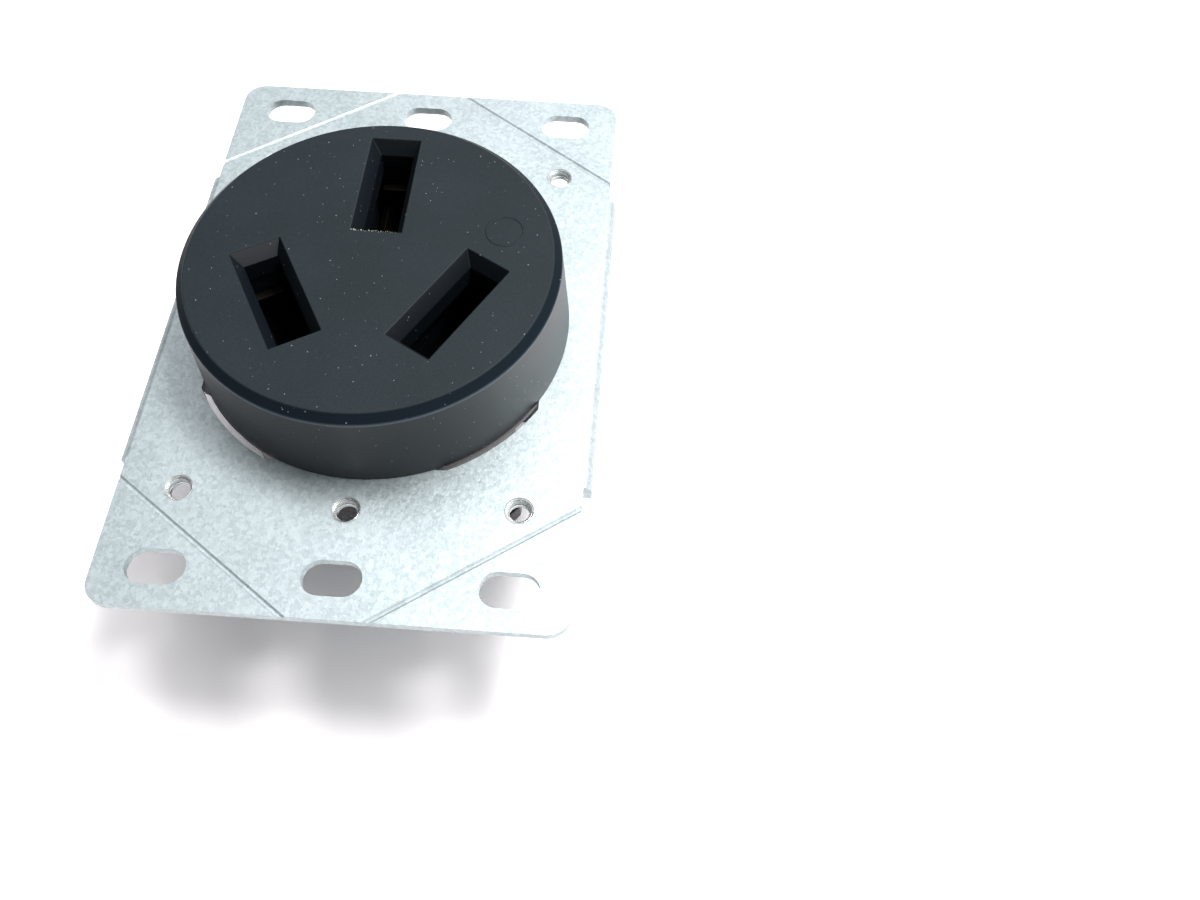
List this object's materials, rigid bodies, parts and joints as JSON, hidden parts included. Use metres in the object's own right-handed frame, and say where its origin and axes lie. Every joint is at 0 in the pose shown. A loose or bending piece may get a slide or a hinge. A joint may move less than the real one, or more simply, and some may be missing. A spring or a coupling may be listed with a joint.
{
  "type": "range receptacle",
  "caption": "Flush-mounting power receptacle: round moulded face with funnel-mouthed blade slots on a slotted, scored steel strap, with a moulded rear body holding contacts and clamp terminals.",
  "frame": {"origin": "on the axis of the round face, in the plane of the mounting strap's back", "axes": "+Z out of the face, +Y along the strap towards the upright neutral slot, +X to the right seen from the front"},
  "size_m": [0.065, 0.0948, 0.0432],
  "materials": {
    "cover_moulding": "black thermoset moulding, satin",
    "housing_moulding": "black thermoset moulding, matt",
    "galvanised_strap": "galvanised sheet steel",
    "contact_alloy": "rolled copper alloy strip",
    "spring_steel": "blued spring steel",
    "terminal_metal": "tin-plated aluminium",
    "rivet_metal": "drawn brass",
    "plated_steel": "zinc-plated steel"
  },
  "bodies": {
    "root": {"face_cover": "cover_moulding", "mounting_strap": "galvanised_strap", "contact_carrier": "housing_moulding", "rear_housing": "housing_moulding", "back_plate": "housing_moulding", "neutral_contact": "contact_alloy", "line_contact_right": "contact_alloy", "line_contact_left": "contact_alloy", "neutral_spring_clip": "spring_steel", "line_spring_clip_right": "spring_steel", "line_spring_clip_left": "spring_steel", "neutral_lug": "terminal_metal", "line_lug_right": "terminal_metal", "line_lug_left": "terminal_metal", "neutral_rivet": "rivet_metal", "line_rivet_right": "rivet_metal", "line_rivet_left": "rivet_metal", "neutral_pressure_plate": "plated_steel", "line_pressure_plate_right": "plated_steel", "line_pressure_plate_left": "plated_steel", "neutral_clamp_screw": "plated_steel", "line_clamp_screw_right": "plated_steel", "line_clamp_screw_left": "plated_steel", "assembly_screw_right": "plated_steel", "assembly_screw_left": "plated_steel", "assembly_screw_lower": "plated_steel"}
  },
  "joints": []
}
